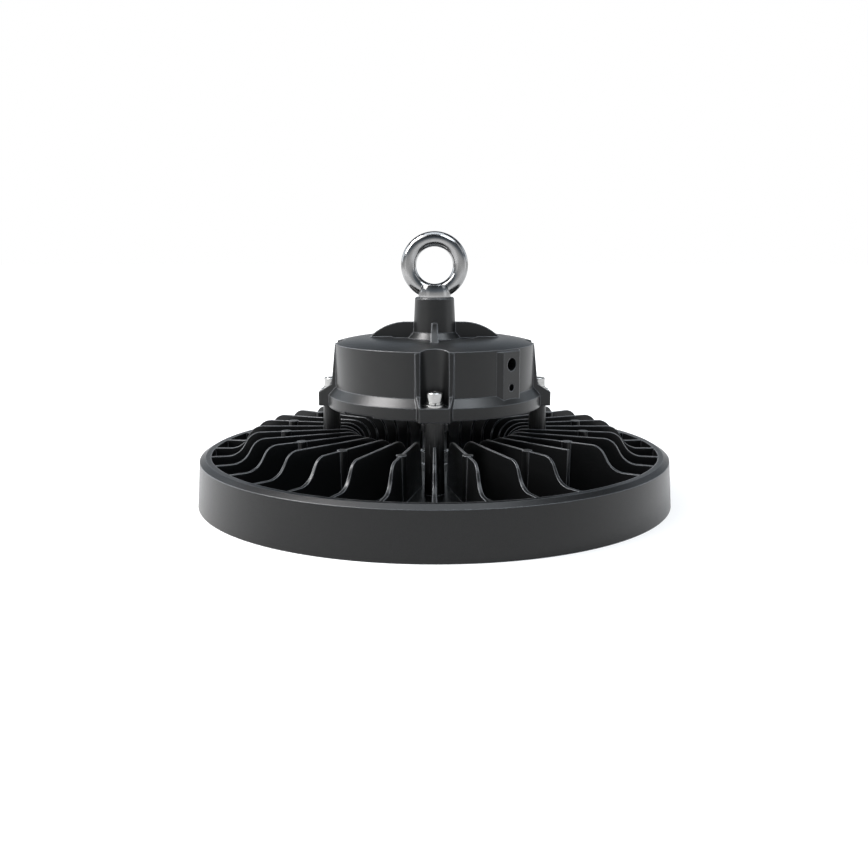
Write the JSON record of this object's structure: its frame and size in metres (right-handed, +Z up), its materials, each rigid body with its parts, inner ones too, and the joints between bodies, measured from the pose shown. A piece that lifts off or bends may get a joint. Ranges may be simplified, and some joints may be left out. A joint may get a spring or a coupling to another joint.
{
  "type": "high bay light",
  "caption": "Round high bay light: black finned heat sink with a deep skirt, cast driver housing on posts above it, and a lifting eye on top.",
  "frame": {"origin": "centre of the circle that the skirt's lower rim stands on", "axes": "+Z up along the lamp's axis to the lifting eye; -Y is the front, with one housing screw on it and the cable pad 45 degrees round to +X"},
  "size_m": [0.33, 0.33, 0.1842],
  "materials": {
    "black_casting": "satin charcoal-black powder coat on die-cast aluminium",
    "plain_aluminium": "plain rolled sheet",
    "bright_steel": "bright zinc-plated steel",
    "polished_eye": "polished plated steel",
    "nickel_brass": "bright nickel plate on brass",
    "silicone": "grey silicone rubber",
    "black_moulding": "black nylon",
    "white_moulding": "white nylon",
    "cable_jacket": "black silicone-jacketed lead",
    "white_board": "white solder mask on aluminium board",
    "led_phosphor": "yellow phosphor",
    "clear_lens": "clear polycarbonate",
    "lens_frame": "satin black paint"
  },
  "bodies": {
    "root": {"heat_sink": "black_casting", "driver_housing": "black_casting", "base_plate": "plain_aluminium", "base_plate_seal": "silicone", "base_plate_screws": "bright_steel", "led_driver": "plain_aluminium", "driver_screws": "bright_steel", "terminal_block": "white_moulding", "eye_bolt": "polished_eye", "eye_bolt_seal": "silicone", "eye_bolt_washer": "bright_steel", "eye_bolt_nut": "bright_steel", "housing_screws": "bright_steel", "spring_washers": "bright_steel", "flat_washers": "bright_steel", "lower_gland_body": "nickel_brass", "lower_gland_nut": "nickel_brass", "lower_lock_nut": "nickel_brass", "lower_gland_seal": "silicone", "lead_conduit": "nickel_brass", "upper_gland_nut": "black_moulding", "upper_gland_body": "black_moulding", "upper_lock_nut": "nickel_brass", "driver_lead": "cable_jacket", "lead_cores": "cable_jacket", "led_board": "white_board", "led_chips": "led_phosphor", "board_connector": "white_moulding", "board_screws": "bright_steel", "board_nuts": "bright_steel", "lens_plate": "clear_lens", "lens_seal": "silicone", "lens_ring": "lens_frame", "lens_screws": "bright_steel"}
  },
  "joints": []
}
